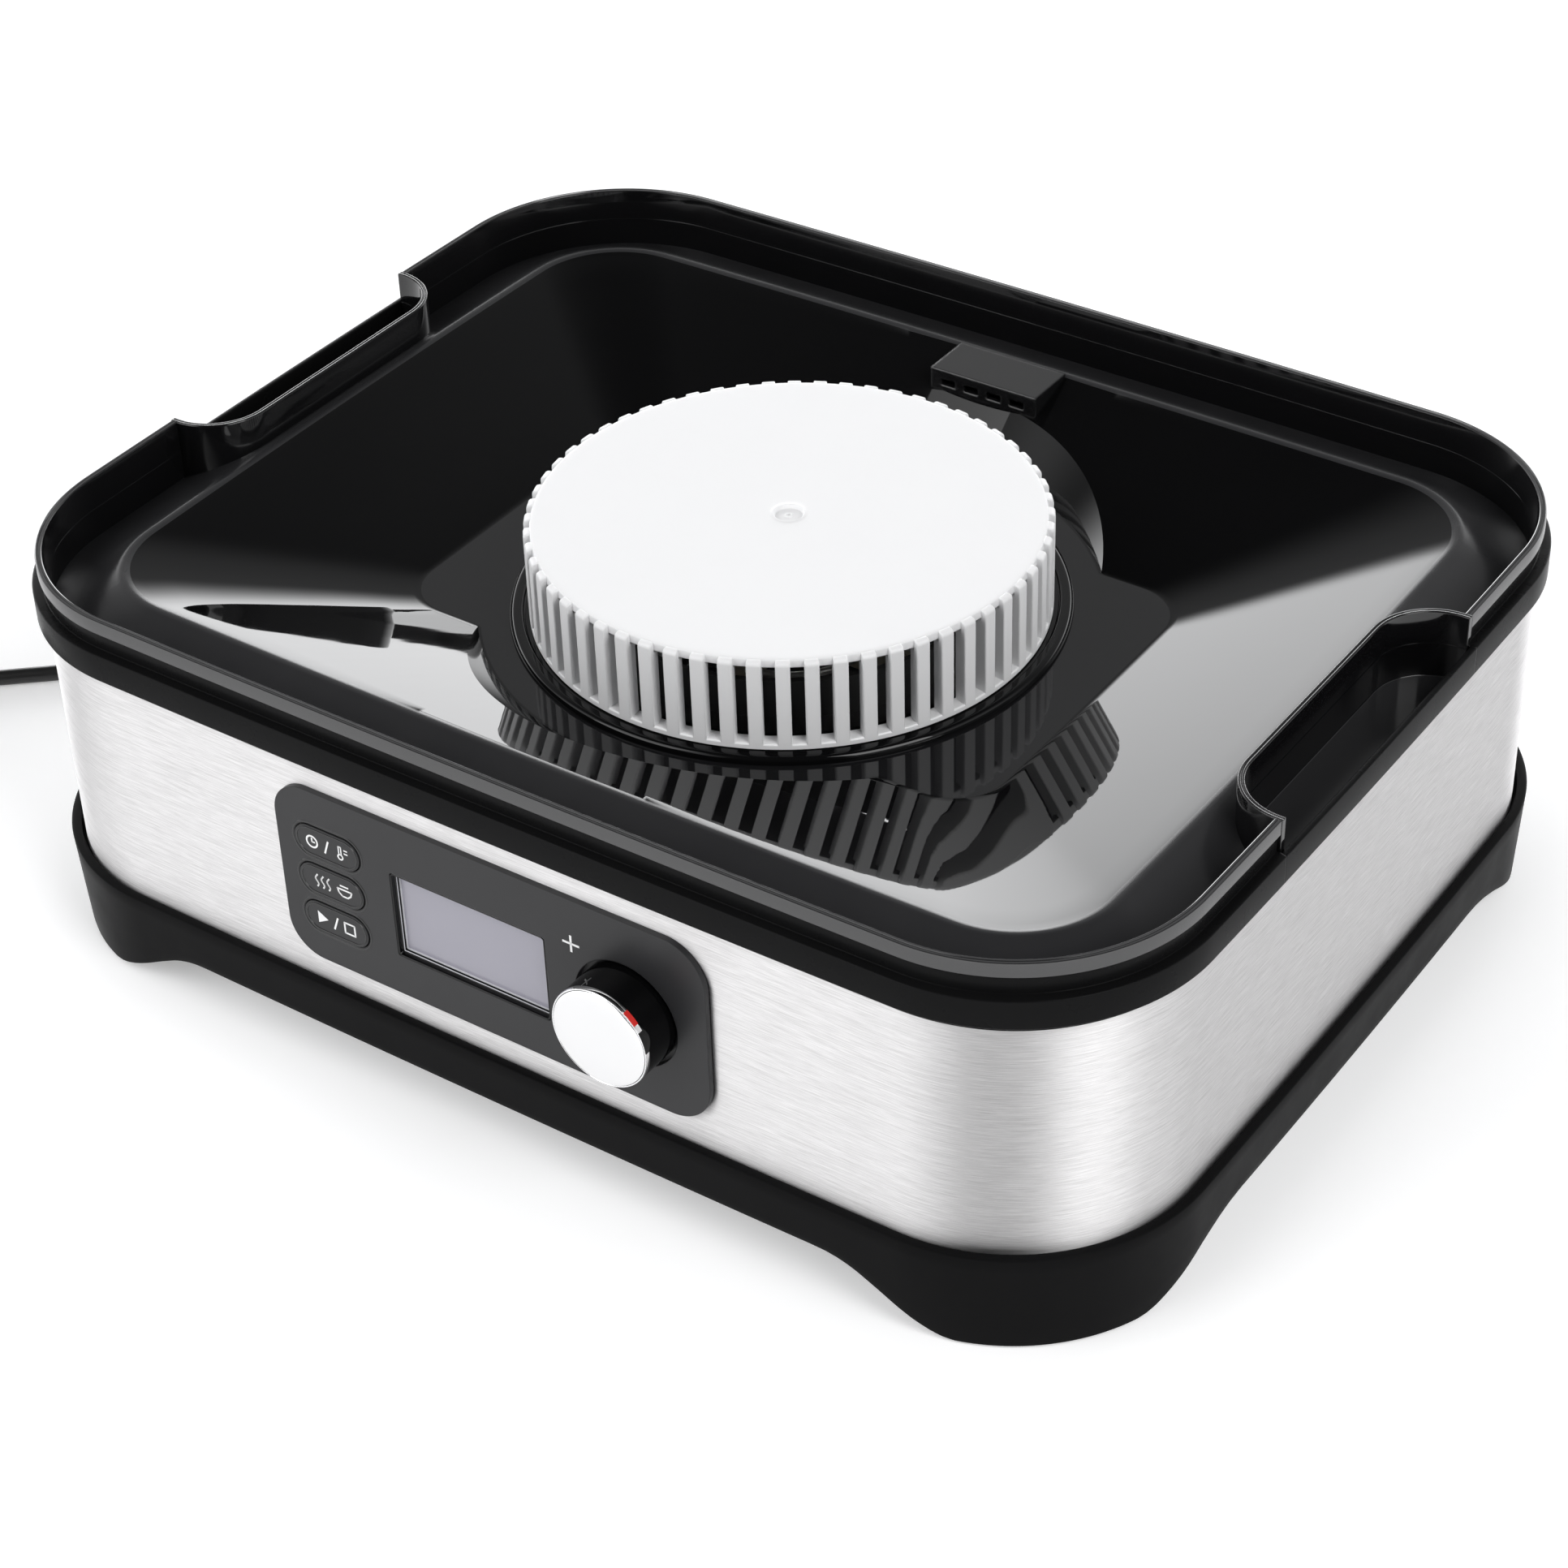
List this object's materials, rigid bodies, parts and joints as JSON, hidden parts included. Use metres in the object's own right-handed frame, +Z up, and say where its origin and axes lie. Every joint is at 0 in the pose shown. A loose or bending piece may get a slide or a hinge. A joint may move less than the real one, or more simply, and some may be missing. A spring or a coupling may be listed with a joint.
{
  "type": "food dehydrator base unit",
  "caption": "Base unit of a countertop food dehydrator: fan and heater under a ribbed air cap, funnel deck with finger notches, panel with display, buttons and knob.",
  "frame": {"origin": "middle of the footprint on the floor, knob included and the mains lead left out", "axes": "+Z up, -Y towards the control panel, +X to the right seen from the panel side"},
  "size_m": [0.5595, 0.4797, 0.1362],
  "materials": {
    "deck": "gloss",
    "base": "satin",
    "pads": "matt",
    "steel": "brushed",
    "zinc": "satin",
    "guard": "matt",
    "cap": "satin",
    "panel": "satin",
    "window": "clear",
    "lcd": "gloss",
    "button": "satin",
    "switch": "matt",
    "knob_black": "gloss",
    "knob_chrome": "polished",
    "board": "satin",
    "chip": "matt",
    "iron": "matt",
    "motor": "satin",
    "impeller": "satin",
    "mica": "matt",
    "rubber_lead": "matt",
    "brass": "polished"
  },
  "bodies": {
    "housing": {"deck_pan": "deck", "deck_rim": "deck", "right_grip_wall": "deck", "left_grip_wall": "deck", "leg_front_left": "base", "leg_front_right": "base", "leg_rear_left": "base", "leg_rear_right": "base", "sensor_housing": "deck", "outlet_collar": "deck", "base_tray": "base", "rubber_feet": "pads", "steel_band": "steel", "bottom_screws": "zinc", "intake_grille": "base", "outlet_guard": "guard", "air_diffuser_cap": "cap", "control_panel": "panel", "lcd_window": "window", "lcd_module": "lcd", "start_switch": "switch", "mode_switch": "switch", "power_switch": "switch", "encoder": "switch", "control_board": "board", "board_chips": "chip", "power_board": "board", "transformer": "iron", "relay": "chip", "capacitor": "chip", "terminal_block": "switch", "fan_motor": "motor", "motor_bracket": "zinc", "fan_duct": "zinc", "heater_frame": "mica", "heater_coil": "zinc", "thermal_fuse": "zinc", "temperature_sensor": "zinc", "cord_gland": "rubber_lead", "power_cord": "rubber_lead", "cord_coil": "rubber_lead", "power_plug": "rubber_lead", "plug_pins": "brass"},
    "start_button": {"start_button": "button"},
    "mode_button": {"mode_button": "button"},
    "power_button": {"power_button": "button"},
    "knob": {"knob_body": "knob_black", "knob_face": "knob_chrome", "encoder_shaft": "zinc"},
    "fan": {"fan_impeller": "impeller", "motor_shaft": "zinc"}
  },
  "joints": [
    {"name": "start_press", "type": "slide", "parent": "housing", "child": "start_button", "axis": [0, 1, 0], "range_m": [0, 0.0008], "stiffness_N_per_m": 400, "springref_m": -0.0006},
    {"name": "mode_press", "type": "slide", "parent": "housing", "child": "mode_button", "axis": [0, 1, 0], "range_m": [0, 0.0008], "stiffness_N_per_m": 400, "springref_m": -0.0006},
    {"name": "power_press", "type": "slide", "parent": "housing", "child": "power_button", "axis": [0, 1, 0], "range_m": [0, 0.0008], "stiffness_N_per_m": 400, "springref_m": -0.0006},
    {"name": "knob_turn", "type": "hinge", "parent": "housing", "child": "knob", "pos_m": [0.05125, -0.16, 0.0736], "axis": [0, -1, 0], "continuous": true},
    {"name": "fan_spin", "type": "hinge", "parent": "housing", "child": "fan", "pos_m": [0, 0.0049, 0.076], "axis": [0, 0, 1], "continuous": true}
  ]
}
